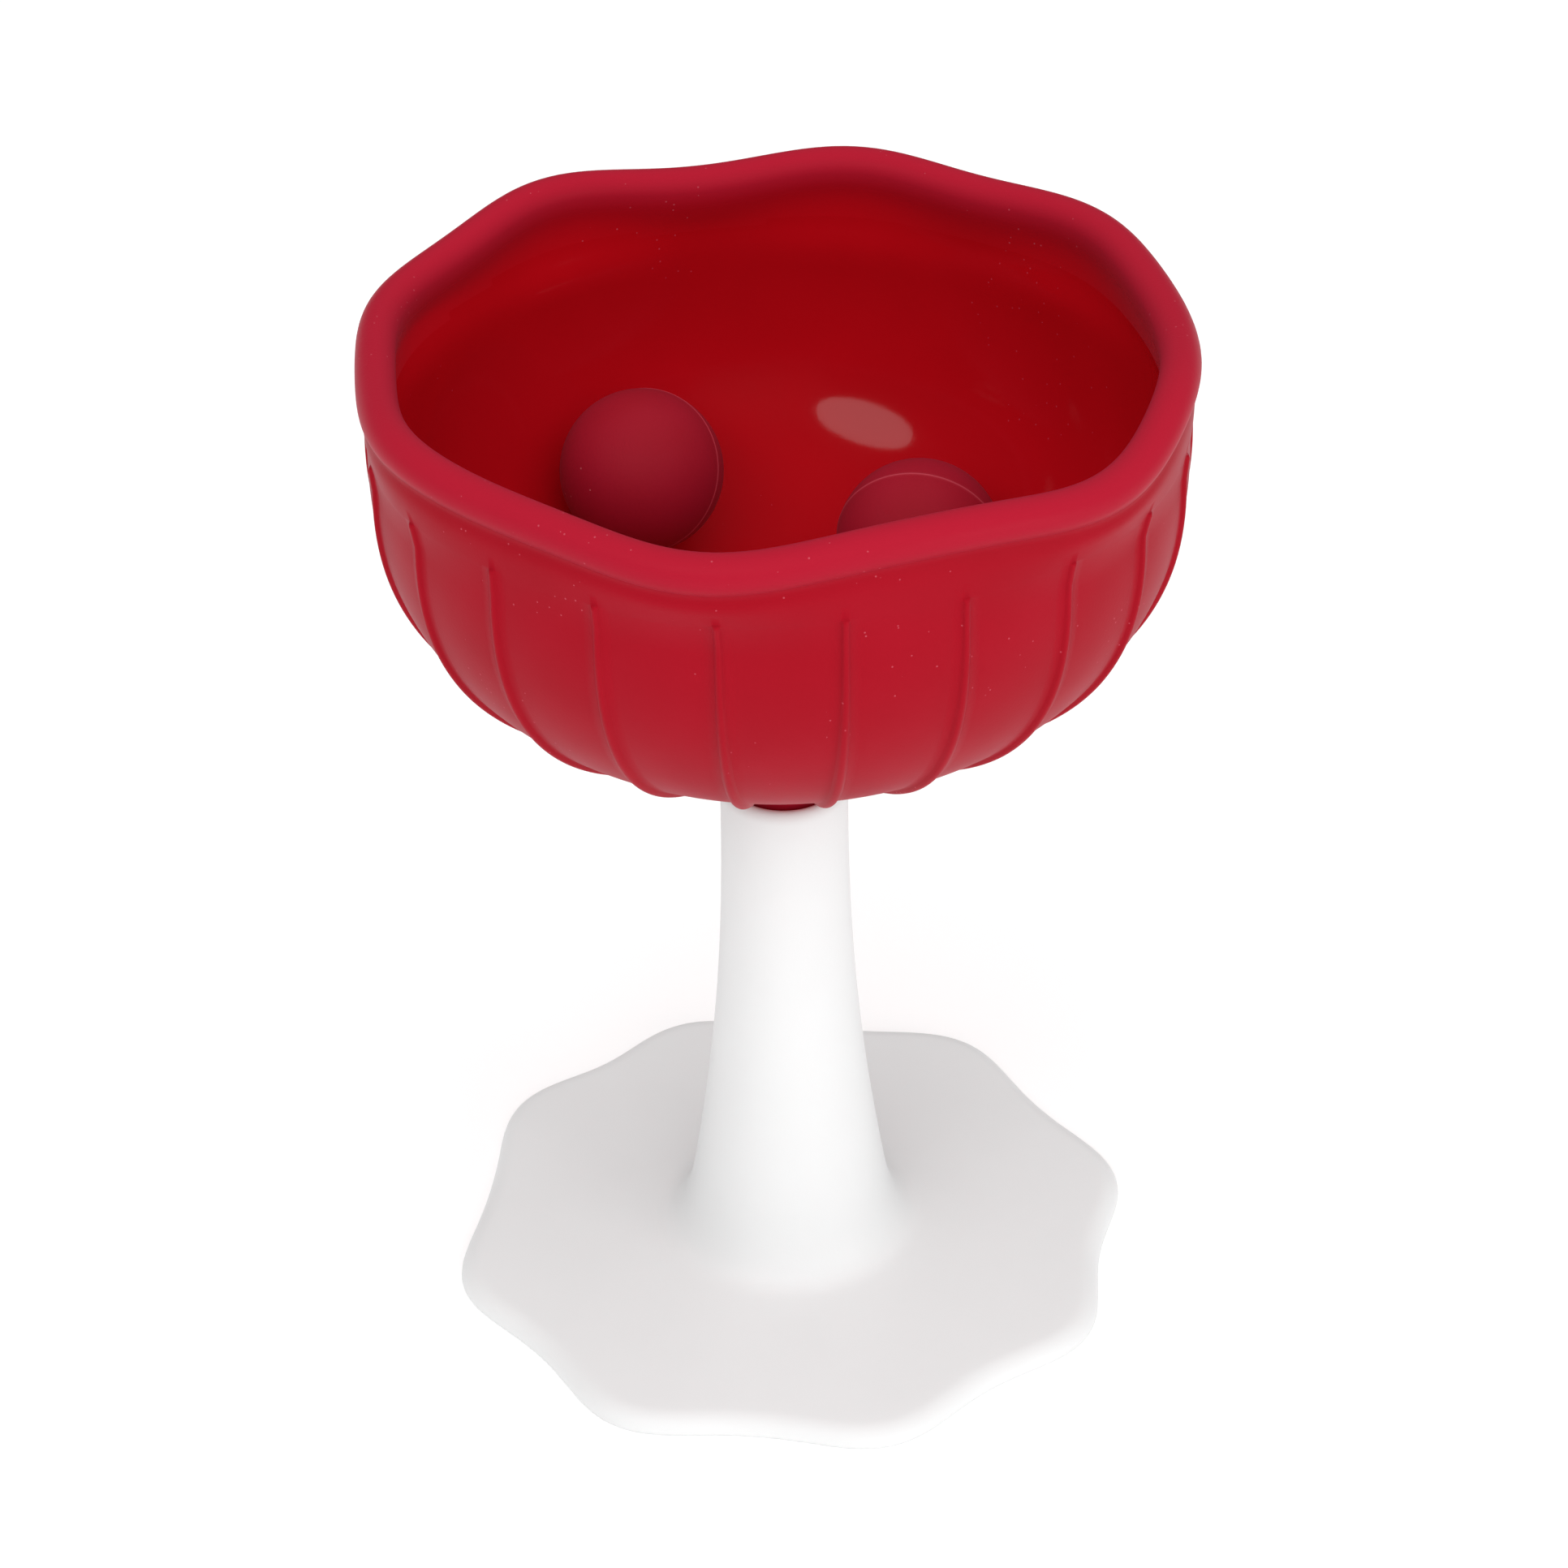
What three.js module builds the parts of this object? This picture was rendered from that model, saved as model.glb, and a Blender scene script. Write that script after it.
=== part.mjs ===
// A footed catch cup: a soft, ribbed bowl with a wavy rolled lip, pressed by its
// plug into a flared white stand, and two loose balls lying in the bowl.
// Millimetres, +Z up, origin at the centre of the foot's underside. The front of
// the cup looks along -Y and lies midway between two ribs.
import * as THREE from 'three';

// ---- Stand: stem and foot, one moulding ---------------------------------------
const STAND_HEIGHT = 88.0;        // floor to the stem's rounded top edge
const STEM_TOP_RADIUS = 9.7;
const STEM_BASE_RADIUS = 15.4;    // where the flare turns into the foot fillet
const STEM_BASE_HEIGHT = 13.0;
const STEM_EDGE_ROUND = 2.0;      // roll of the stem's top edge
const FOOT_RADIUS = 49.8;         // between lobes
const FOOT_THICKNESS = 3.0;
const FOOT_FILLET_RUN = 6.6;      // from the stem's base out to the foot's flat top
const FOOT_EDGE_ROLL = 4.5;       // width of the soft roll along the foot's edge
const FOOT_LOBE_REACH = 4.8;
const FOOT_LOBE_SPREAD = 9.7;     // degrees, one standard deviation of a lobe
const FOOT_LOBES = [10, 56, 110, 146, 196, 240, 286, 328];  // degrees from +X
const STEM_WALL = 2.6;            // plastic round the hollow core
const WEB_THICKNESS = 3.0;        // floor between the socket and the hollow core

// ---- Push fit between stand and bowl ------------------------------------------
const SOCKET_RADIUS = 7.4;
const FIT_GAP = 0.3;              // radial play of the plug in its socket
const SEAT_GAP = 0.3;             // under the plug
const PLUG_DEPTH = 12.0;
const NECK_LENGTH = 11.0;         // from the stem's top up to the belly
const PLUG_CHAMFER = 1.0;

// ---- Bowl ---------------------------------------------------------------------
const BOWL_DEPTH = 61.7;          // belly's lowest point to the lip's centre line
const WALL_RADIUS = 58.3;         // outside, where the belly curve ends under the lip
const WALL_THICKNESS = 3.2;
const BELLY_REACH = 0.618;        // lower handle of the belly curve, of the radius
const BELLY_RISE = 0.10;          // and its height, of the wall's height
const SHOULDER_SWELL = 2.9;       // upper handle, outward of the wall's radius
const SHOULDER_RISE = 0.374;      // and its height, of the wall's height
const LIP_DRAW_IN = 2.3;          // centre line of the lip's bead, inward of the wall
const LIP_BEAD = 2.9;             // radius of the bead
const LIP_BAND = 10.0;            // wall between the belly curve and the lip
const LIP_BLEND = 13.0;           // height over which the wall takes up the wave
const LIP_TIP = 1.6;              // how far the soft lip stands up on its high side
const LIP_TIP_TOWARDS = 311.0;    // degrees from +X
const LIP_LOBE_SPREAD = 11.8;     // degrees, one standard deviation of a lobe
const LIP_LOBES = [
  { at: 39, reach: 2.7, rise: 0.9 },
  { at: 78, reach: 2.8, rise: 2.0 },
  { at: 126, reach: 3.2, rise: 2.6 },
  { at: 159, reach: 3.2, rise: -0.2 },
  { at: 209, reach: 2.0, rise: 1.2 },
  { at: 260, reach: 3.0, rise: -1.7 },
  { at: 319, reach: 2.4, rise: -2.4 },
  { at: 341, reach: 0.8, rise: 1.1 },
];

// ---- Ribs on the outside of the bowl ------------------------------------------
const RIB_COUNT = 22;
const RIB_HEIGHT = 0.85;          // on the belly
const RIB_TOP_SHARE = 0.55;       // of that height, at a rib's top
const RIB_HALF_WIDTH = 0.8;
const RIB_TOP_DROP = 7.8;         // from the lip's centre line down to the rib tops
const RIB_FADE = 1.2;             // length of a rib's rounded top
const RIB_INNER_RADIUS = 12.0;    // where the ribs die out under the belly

// ---- Balls --------------------------------------------------------------------
const BALL_RADIUS = 12.4;
const BALL_GAP = 0.3;             // between a ball and the wall it lies on
const BALLS = [                   // share: of the way from the axis to the wall
  { name: 'ball_left', share: 0.796, at: 127.7 },
  { name: 'ball_right', share: 0.589, at: 34.5 },
];

// ---- Facets -------------------------------------------------------------------
const STAND_COLUMNS = 96;
const BALL_COLUMNS = 32;
const BALL_ROWS = 20;

// ---- Derived ------------------------------------------------------------------
const BOWL_BOTTOM = STAND_HEIGHT + NECK_LENGTH;
const LIP_HEIGHT = BOWL_BOTTOM + BOWL_DEPTH;
const WALL_TOP = LIP_HEIGHT - LIP_BAND;
const LIP_RADIUS = WALL_RADIUS - LIP_DRAW_IN;
const FOOT_FILLET_RADIUS = STEM_BASE_RADIUS + FOOT_FILLET_RUN;
const PLUG_RADIUS = SOCKET_RADIUS - FIT_GAP;
const SOCKET_FLOOR = STAND_HEIGHT - PLUG_DEPTH - SEAT_GAP;
const PLUG_BOTTOM = SOCKET_FLOOR + SEAT_GAP;
const RIB_TOP = LIP_HEIGHT - RIB_TOP_DROP;
const BALL_TRAVEL = WALL_RADIUS - WALL_THICKNESS - BALL_RADIUS;

const RAD = Math.PI / 180;

const smoothstep = (low, high, x) => {
  const t = Math.min(1, Math.max(0, (x - low) / (high - low)));
  return t * t * (3 - 2 * t);
};

// Height of a soft bump of the given spread, centred on a lobe.
const bump = (theta, at, spread) => {
  const turn = theta / RAD - at;
  const away = turn - 360 * Math.round(turn / 360);
  return Math.exp(-0.5 * (away / spread) ** 2);
};

const footWave = (theta) => FOOT_LOBES.reduce(
  (sum, at) => sum + FOOT_LOBE_REACH * bump(theta, at, FOOT_LOBE_SPREAD), 0);

const lipReach = (theta) => LIP_LOBES.reduce(
  (sum, lobe) => sum + lobe.reach * bump(theta, lobe.at, LIP_LOBE_SPREAD), 0);

const lipRise = (theta) => LIP_LOBES.reduce(
  (sum, lobe) => sum + lobe.rise * bump(theta, lobe.at, LIP_LOBE_SPREAD),
  LIP_TIP * Math.cos(theta - LIP_TIP_TOWARDS * RAD));

// Point and unit normal (to the left of travel) of a cubic curve in the r-z plane.
function cubic(points, t) {
  const [a, b, c, d] = points;
  const s = 1 - t;
  const at = (k) => s * s * s * a[k] + 3 * s * s * t * b[k] + 3 * s * t * t * c[k] + t * t * t * d[k];
  const slope = (k) => 3 * s * s * (b[k] - a[k]) + 6 * s * t * (c[k] - b[k]) + 3 * t * t * (d[k] - c[k]);
  const length = Math.hypot(slope(0), slope(1));
  return { r: at(0), z: at(1), nr: -slope(1) / length, nz: slope(0) / length };
}

// A closed skin round the Z axis. Each row gives [radius, height, angle] for a
// column; the first and last rows shrink to a point on the axis.
function skin(rows, columns, angleOf) {
  const positions = [0, 0, rows[0](0, 0)[1]];
  for (const row of rows.slice(1, -1)) {
    for (let c = 0; c < columns; c += 1) {
      const [r, z, turned] = row(angleOf(c), c);
      const angle = turned === undefined ? angleOf(c) : turned;
      positions.push(r * Math.cos(angle), r * Math.sin(angle), z);
    }
  }
  const last = positions.length / 3;
  positions.push(0, 0, rows[rows.length - 1](0, 0)[1]);
  const indices = [];
  const rings = rows.length - 2;
  const vertex = (ring, c) => 1 + ring * columns + (c % columns);
  for (let c = 0; c < columns; c += 1) {
    indices.push(0, vertex(0, c), vertex(0, c + 1));
    for (let ring = 0; ring < rings - 1; ring += 1) {
      const a = vertex(ring, c);
      const b = vertex(ring, c + 1);
      const d = vertex(ring + 1, c);
      const e = vertex(ring + 1, c + 1);
      indices.push(a, d, e, a, e, b);
    }
    indices.push(last, vertex(rings - 1, c + 1), vertex(rings - 1, c));
  }
  const geometry = new THREE.BufferGeometry();
  geometry.setAttribute('position', new THREE.Float32BufferAttribute(positions, 3));
  geometry.setIndex(indices);
  geometry.computeVertexNormals();
  return geometry;
}

const ring = (r, z) => () => [r, z];

// ---- Stand --------------------------------------------------------------------
const STEM_CURVE = [
  [STEM_TOP_RADIUS, STAND_HEIGHT - 6],
  [STEM_TOP_RADIUS + 0.1, 0.634 * STAND_HEIGHT],
  [0.755 * STEM_BASE_RADIUS, 0.409 * STAND_HEIGHT],
  [STEM_BASE_RADIUS, STEM_BASE_HEIGHT],
];
const FILLET_CURVE = [
  [STEM_BASE_RADIUS, STEM_BASE_HEIGHT],
  [STEM_BASE_RADIUS + 0.17 * FOOT_FILLET_RUN, 0.35 * STEM_BASE_HEIGHT + 0.65 * FOOT_THICKNESS],
  [STEM_BASE_RADIUS + 0.36 * FOOT_FILLET_RUN, FOOT_THICKNESS],
  [FOOT_FILLET_RADIUS, FOOT_THICKNESS],
];

// A row of the foot: it takes up the lobes between the fillet and the edge.
const footRow = (inset, z) => (theta) => {
  const r = FOOT_RADIUS - inset;
  const share = smoothstep(FOOT_FILLET_RADIUS, FOOT_RADIUS - FOOT_EDGE_ROLL, r);
  return [r + share * footWave(theta), z];
};

function standGeometry() {
  const rows = [];
  // Socket, from its floor up and over the rolled top edge
  rows.push(ring(0, SOCKET_FLOOR));
  rows.push(ring(SOCKET_RADIUS, SOCKET_FLOOR));
  const rollMiddle = SOCKET_RADIUS + (STEM_TOP_RADIUS - SOCKET_RADIUS) / 2;
  const rollHalf = (STEM_TOP_RADIUS - SOCKET_RADIUS) / 2;
  for (const turn of [180, 144, 108, 72, 36, 0]) {
    const z = STAND_HEIGHT - STEM_EDGE_ROUND + STEM_EDGE_ROUND * Math.sin(turn * RAD);
    rows.push(ring(rollMiddle + rollHalf * Math.cos(turn * RAD), z));
  }
  // Outside of the stem, the fillet, and the foot's top
  for (let i = 0; i <= 9; i += 1) {
    const p = cubic(STEM_CURVE, i / 9);
    rows.push(ring(p.r, p.z));
  }
  for (let i = 1; i <= 5; i += 1) {
    const p = cubic(FILLET_CURVE, i / 5);
    rows.push(ring(p.r, p.z));
  }
  rows.push(footRow(0.45 * (FOOT_RADIUS - FOOT_FILLET_RADIUS), FOOT_THICKNESS));
  // Soft roll along the foot's edge, then the flat underside
  for (const turn of [90, 65, 42, 20, 0]) {
    const inset = FOOT_EDGE_ROLL * (1 - Math.cos(turn * RAD));
    rows.push(footRow(inset, 0.5 + (FOOT_THICKNESS - 0.5) * Math.sin(turn * RAD)));
  }
  rows.push(footRow(0.5, 0));
  // Hollow core, open below, under the web
  const core = (p) => ring(p.r + p.nr * STEM_WALL, p.z + p.nz * STEM_WALL);
  rows.push(ring(STEM_BASE_RADIUS - STEM_WALL + 0.8, 0));
  rows.push(ring(STEM_BASE_RADIUS - STEM_WALL, 0.8));
  for (const t of [1, 0.8, 0.6, 0.4, 0.25]) {
    rows.push(core({ ...cubic(STEM_CURVE, t), nr: -1, nz: 0 }));
  }
  rows.push(ring(STEM_TOP_RADIUS - STEM_WALL, SOCKET_FLOOR - WEB_THICKNESS));
  rows.push(ring(0, SOCKET_FLOOR - WEB_THICKNESS));
  return skin(rows, STAND_COLUMNS, (c) => (2 * Math.PI * c) / STAND_COLUMNS);
}

// ---- Bowl ---------------------------------------------------------------------
const WALL_HEIGHT = WALL_TOP - BOWL_BOTTOM;
const BELLY_CURVE = [
  [PLUG_RADIUS, BOWL_BOTTOM],
  [BELLY_REACH * WALL_RADIUS, BOWL_BOTTOM + BELLY_RISE * WALL_HEIGHT],
  [WALL_RADIUS + SHOULDER_SWELL, BOWL_BOTTOM + SHOULDER_RISE * WALL_HEIGHT],
  [WALL_RADIUS, WALL_TOP],
];
const RIB_PITCH = (2 * Math.PI) / RIB_COUNT;
const FRONT = -Math.PI / 2;

// Columns run in fives: a flank, the crest, the other flank, two across the bay.
const PER_RIB = 5;
const CREST = 1;
const ribAngle = (c, radius) => {
  const crest = FRONT + (Math.floor(c / PER_RIB) + 0.5) * RIB_PITCH;
  const flank = Math.min(RIB_HALF_WIDTH / radius, 0.25 * RIB_PITCH);
  return crest + [-flank, 0, flank, 0.37 * RIB_PITCH, 0.63 * RIB_PITCH][c % PER_RIB];
};
const bowlAngle = (c) => ribAngle(c, WALL_RADIUS);

// A rib's height at a place on the wall: it grows from its top down to the belly.
const ribHeight = (z) => {
  const low = BOWL_BOTTOM + 0.3 * WALL_HEIGHT;
  return RIB_HEIGHT * (1 - (1 - RIB_TOP_SHARE) * smoothstep(low, RIB_TOP, z));
};

// A row of the outside wall at curve place t, pushed out along the crests.
const ribRow = (t, share) => (theta, c) => {
  const p = cubic(BELLY_CURVE, t);
  const out = c % PER_RIB === CREST ? ribHeight(p.z) * share : 0;
  return [p.r - p.nr * out, p.z - p.nz * out, ribAngle(c, p.r)];
};

// A row of wall above the belly. It takes up the lip's reach over the whole blend,
// and the lip's rise only above the rib tops, which stay level.
const wallRow = (radius, z, share) => (theta, c) => {
  const wide = smoothstep(LIP_HEIGHT - LIP_BLEND, LIP_HEIGHT - LIP_BEAD, z);
  const high = smoothstep(RIB_TOP, LIP_HEIGHT - LIP_BEAD, z);
  const out = c % PER_RIB === CREST ? ribHeight(z) * share : 0;
  return [radius + wide * lipReach(theta) + out, z + high * lipRise(theta)];
};

const beadRow = (turn) => (theta) => [
  LIP_RADIUS + lipReach(theta) + LIP_BEAD * Math.cos(turn * RAD),
  LIP_HEIGHT + lipRise(theta) + LIP_BEAD * Math.sin(turn * RAD),
];

// The inside of the wall, a wall's thickness in from the belly curve.
const innerPoint = (t) => {
  const p = cubic(BELLY_CURVE, t);
  return { r: p.r + p.nr * WALL_THICKNESS, z: p.z + p.nz * WALL_THICKNESS };
};

function bowlGeometry() {
  const rows = [];
  rows.push(ring(0, innerPoint(0).z));
  for (const t of [0, 0.1, 0.2, 0.3, 0.4, 0.5, 0.6, 0.7, 0.8, 0.9, 1]) {
    const p = innerPoint(t);
    rows.push(ring(p.r, p.z));
  }
  rows.push(wallRow(WALL_RADIUS - WALL_THICKNESS, LIP_HEIGHT - 0.6 * LIP_BAND, 0));
  rows.push(wallRow(LIP_RADIUS - LIP_BEAD, LIP_HEIGHT - LIP_BEAD, 0));
  for (const turn of [180, 150, 120, 90, 60, 30, 0, -28, -54, -76]) {
    rows.push(beadRow(turn));
  }
  rows.push(wallRow(WALL_RADIUS, LIP_HEIGHT - LIP_BEAD - 1.6, 0));
  rows.push(wallRow(WALL_RADIUS, RIB_TOP, 0));
  rows.push(wallRow(WALL_RADIUS, RIB_TOP - RIB_FADE, 1));
  for (const t of [0.97, 0.88, 0.79, 0.7, 0.61, 0.52, 0.43, 0.34, 0.25, 0.16]) {
    rows.push(ribRow(t, cubic(BELLY_CURVE, t).r > RIB_INNER_RADIUS ? 1 : 0));
  }
  rows.push(ribRow(0.06, 0));
  rows.push(ring(PLUG_RADIUS, BOWL_BOTTOM));
  rows.push(ring(PLUG_RADIUS, STAND_HEIGHT - STEM_EDGE_ROUND));
  rows.push(ring(PLUG_RADIUS, PLUG_BOTTOM + PLUG_CHAMFER));
  rows.push(ring(PLUG_RADIUS - PLUG_CHAMFER, PLUG_BOTTOM));
  rows.push(ring(0, PLUG_BOTTOM));
  return skin(rows, PER_RIB * RIB_COUNT, bowlAngle);
}

// ---- Balls --------------------------------------------------------------------
// Lowest height at which a ball, this far out, clears the wall by its gap.
function restHeight(out) {
  const clear = BALL_RADIUS + BALL_GAP;
  let height = 0;
  for (let i = 0; i <= 400; i += 1) {
    const p = innerPoint(i / 400);
    const across = Math.abs(p.r - out);
    if (across < clear) {
      height = Math.max(height, p.z + Math.sqrt(clear ** 2 - across ** 2));
    }
  }
  return height;
}

function ballGeometry({ share, at }) {
  const rows = [];
  const out = share * BALL_TRAVEL;
  const middle = restHeight(out);
  for (let i = 0; i <= BALL_ROWS; i += 1) {
    const polar = (Math.PI * i) / BALL_ROWS;
    rows.push(ring(BALL_RADIUS * Math.sin(polar), middle + BALL_RADIUS * Math.cos(polar)));
  }
  const geometry = skin(rows, BALL_COLUMNS, (c) => (2 * Math.PI * c) / BALL_COLUMNS);
  geometry.translate(out * Math.cos(at * RAD), out * Math.sin(at * RAD), 0);
  return geometry;
}

// ---- Assembly -----------------------------------------------------------------
const whitePlastic = new THREE.MeshStandardMaterial({ color: 0xe9e9e8, roughness: 0.45 });
const redSilicone = new THREE.MeshStandardMaterial({ color: 0xb5142a, roughness: 0.5 });
const redBall = new THREE.MeshStandardMaterial({ color: 0xa81830, roughness: 0.8 });

const group = new THREE.Group();
group.name = 'catch_cup';

function add(name, geometry, material) {
  const mesh = new THREE.Mesh(geometry, material);
  mesh.name = name;
  group.add(mesh);
}

add('stem_foot', standGeometry(), whitePlastic);
add('bowl', bowlGeometry(), redSilicone);
for (const ball of BALLS) {
  add(ball.name, ballGeometry(ball), redBall);
}

export default group;
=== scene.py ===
"""A footed catch cup: a soft ribbed bowl with a wavy rolled lip, pressed into a flared
white stand with a lobed foot, and two loose balls lying in the bowl.

Every length is in metres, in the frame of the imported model: +Z up, origin at the centre
of the foot's underside, front of the cup towards -Y and midway between two ribs.
"""

import logging
import math
from dataclasses import dataclass
from enum import Enum
from typing import NamedTuple

import bmesh
import bpy
from mathutils import Matrix, Vector


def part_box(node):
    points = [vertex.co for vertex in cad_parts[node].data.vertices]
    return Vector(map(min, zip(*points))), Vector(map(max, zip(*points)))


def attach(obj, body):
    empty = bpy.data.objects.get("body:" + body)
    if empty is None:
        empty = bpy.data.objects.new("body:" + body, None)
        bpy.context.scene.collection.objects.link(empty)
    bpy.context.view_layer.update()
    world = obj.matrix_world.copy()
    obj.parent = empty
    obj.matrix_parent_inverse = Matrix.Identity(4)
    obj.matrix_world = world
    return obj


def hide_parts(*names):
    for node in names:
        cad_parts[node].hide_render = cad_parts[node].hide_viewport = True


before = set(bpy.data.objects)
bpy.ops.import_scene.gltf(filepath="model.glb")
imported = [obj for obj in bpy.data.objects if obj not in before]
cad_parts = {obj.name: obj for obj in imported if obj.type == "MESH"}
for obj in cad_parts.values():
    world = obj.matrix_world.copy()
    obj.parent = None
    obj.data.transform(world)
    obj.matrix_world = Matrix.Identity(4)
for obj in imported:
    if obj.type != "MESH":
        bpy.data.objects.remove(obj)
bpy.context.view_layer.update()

LOG = logging.getLogger("catch_cup")
MM = 0.001
CLOSE = 1e-6


# ---- Lobes ---------------------------------------------------------------------------


@dataclass(frozen=True)
class Lobe:
    """One soft outward lobe of the lip or the foot."""

    at: float
    reach: float
    rise: float = 0.0


@dataclass(frozen=True)
class Wave:
    """The lobes that run round an edge, each a soft bump of the same spread.

    A soft edge may also stand up a little on one side, by tip mm, towards an angle.
    """

    lobes: tuple[Lobe, ...]
    spread: float
    tip: float = 0.0
    tip_towards: float = 0.0

    def _weight(self, theta: float, at: float) -> float:
        """How much of a lobe is felt at an angle.

        Args:
            theta: Angle round the Z axis, in radians from +X.
            at: The lobe's own angle, in degrees from +X.

        Returns:
            1 at the lobe's crest, falling to 0 away from it.
        """
        away = math.degrees(theta) - at
        away -= 360.0 * round(away / 360.0)
        return math.exp(-0.5 * (away / self.spread) ** 2)

    def reach(self, theta: float) -> float:
        """How far out the edge goes at an angle in radians, in metres."""
        return MM * sum(l.reach * self._weight(theta, l.at) for l in self.lobes)

    def rise(self, theta: float) -> float:
        """How far up the edge goes at an angle in radians, in metres."""
        tipped = self.tip * math.cos(theta - math.radians(self.tip_towards))
        return MM * (tipped + sum(l.rise * self._weight(theta, l.at) for l in self.lobes))


LIP_WAVE = Wave(
    lobes=(
        Lobe(at=39, reach=2.7, rise=0.9),
        Lobe(at=78, reach=2.8, rise=2.0),
        Lobe(at=126, reach=3.2, rise=2.6),
        Lobe(at=159, reach=3.2, rise=-0.2),
        Lobe(at=209, reach=2.0, rise=1.2),
        Lobe(at=260, reach=3.0, rise=-1.7),
        Lobe(at=319, reach=2.4, rise=-2.4),
        Lobe(at=341, reach=0.8, rise=1.1),
    ),
    spread=11.8,
    tip=1.6,
    tip_towards=311.0,
)

FOOT_WAVE = Wave(
    lobes=tuple(Lobe(at=a, reach=4.8) for a in (10, 56, 110, 146, 196, 240, 286, 328)),
    spread=9.7,
)


# ---- Profiles ------------------------------------------------------------------------


class Spot(NamedTuple):
    """A place on a profile, in metres, with the unit normal to the left of travel."""

    r: float
    z: float
    nr: float
    nz: float


@dataclass(frozen=True)
class Curve:
    """A cubic curve in the plane of radius and height, from its four handles in mm."""

    handles: tuple[tuple[float, float], ...]

    def spot(self, t: float) -> Spot:
        """The curve's place at t.

        Args:
            t: 0 at the first handle and 1 at the last.

        Returns:
            The place and its normal, in metres.
        """
        a, b, c, d = (Vector(h) for h in self.handles)
        s = 1.0 - t
        at = s**3 * a + 3 * s * s * t * b + 3 * s * t * t * c + t**3 * d
        slope = 3 * s * s * (b - a) + 6 * s * t * (c - b) + 3 * t * t * (d - c)
        slope.normalize()
        return Spot(at.x * MM, at.y * MM, -slope.y, slope.x)


class Ring(NamedTuple):
    """One ring of a turned shape: its place in mm and its share of each feature.

    nr and nz are the way that a rib stands out there.
    """

    r: float
    z: float
    reach: float = 0.0
    rise: float = 0.0
    rib: float = 0.0
    nr: float = 1.0
    nz: float = 0.0


def smoothstep(low: float, high: float, x: float) -> float:
    """0 below low, 1 above high, and a smooth turn between."""
    t = min(1.0, max(0.0, (x - low) / (high - low)))
    return t * t * (3.0 - 2.0 * t)


SHARES = ("reach", "rise", "rib", "nr", "nz")
BLEND = "blend"
PAINTED_LIGHT = "painted_light"


def turn(rings: list[Ring], columns: int) -> bmesh.types.BMesh:
    """Spins a profile round the Z axis into a closed skin.

    Each point carries the ring's shares in vertex layers, for the moves that follow.

    Args:
        rings: The profile, starting and ending on the axis.
        columns: Number of columns round the axis, the first along +X.

    Returns:
        The turned shape, with its normals outward.
    """
    bm = bmesh.new()
    layers = {name: bm.verts.layers.float.new(name) for name in SHARES}
    verts = []
    for ring in rings:
        v = bm.verts.new((ring.r * MM, 0.0, ring.z * MM))
        for name, layer in layers.items():
            v[layer] = getattr(ring, name)
        verts.append(v)
    edges = [bm.edges.new(pair) for pair in zip(verts, verts[1:])]
    bmesh.ops.spin(
        bm,
        geom=verts + edges,
        cent=(0, 0, 0),
        axis=(0, 0, 1),
        dvec=(0, 0, 0),
        angle=math.tau,
        steps=columns,
        use_merge=True,
        use_duplicate=False,
    )
    bmesh.ops.remove_doubles(bm, verts=bm.verts, dist=CLOSE)
    bmesh.ops.recalc_face_normals(bm, faces=bm.faces)
    return bm


def finish_piece(
    bm: bmesh.types.BMesh,
    name: str,
    body: str,
    node: str,
    materials: list[bpy.types.Material],
) -> bpy.types.Object:
    """Makes a smooth-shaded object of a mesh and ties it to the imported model.

    Args:
        bm: The finished mesh, in place in the frame. It is freed.
        name: The new object's name.
        body: The body that the piece rides on.
        node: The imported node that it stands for.
        materials: Its materials, in the order of the faces' indices.

    Returns:
        The object.
    """
    mesh = bpy.data.meshes.new(name)
    bm.to_mesh(mesh)
    bm.free()
    mesh.polygons.foreach_set("use_smooth", [True] * len(mesh.polygons))
    for material in materials:
        mesh.materials.append(material)
    piece = bpy.data.objects.new(name, mesh)
    bpy.context.collection.objects.link(piece)
    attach(piece, body)
    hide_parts(node)
    LOG.info("%s: %d faces on body %s", name, len(mesh.polygons), body)
    return piece


# ---- Shader nodes --------------------------------------------------------------------

WHITE = (1.0, 1.0, 1.0, 1.0)
NOISE_DETAIL = 2.0
MOTTLE_RANGE = (0.3, 0.7)
BUMP_DEPTH = 0.001
SHEEN_ROUGHNESS = 0.5
SHEEN_TINT = (1.0, 0.5, 0.75, 1.0)


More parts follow.
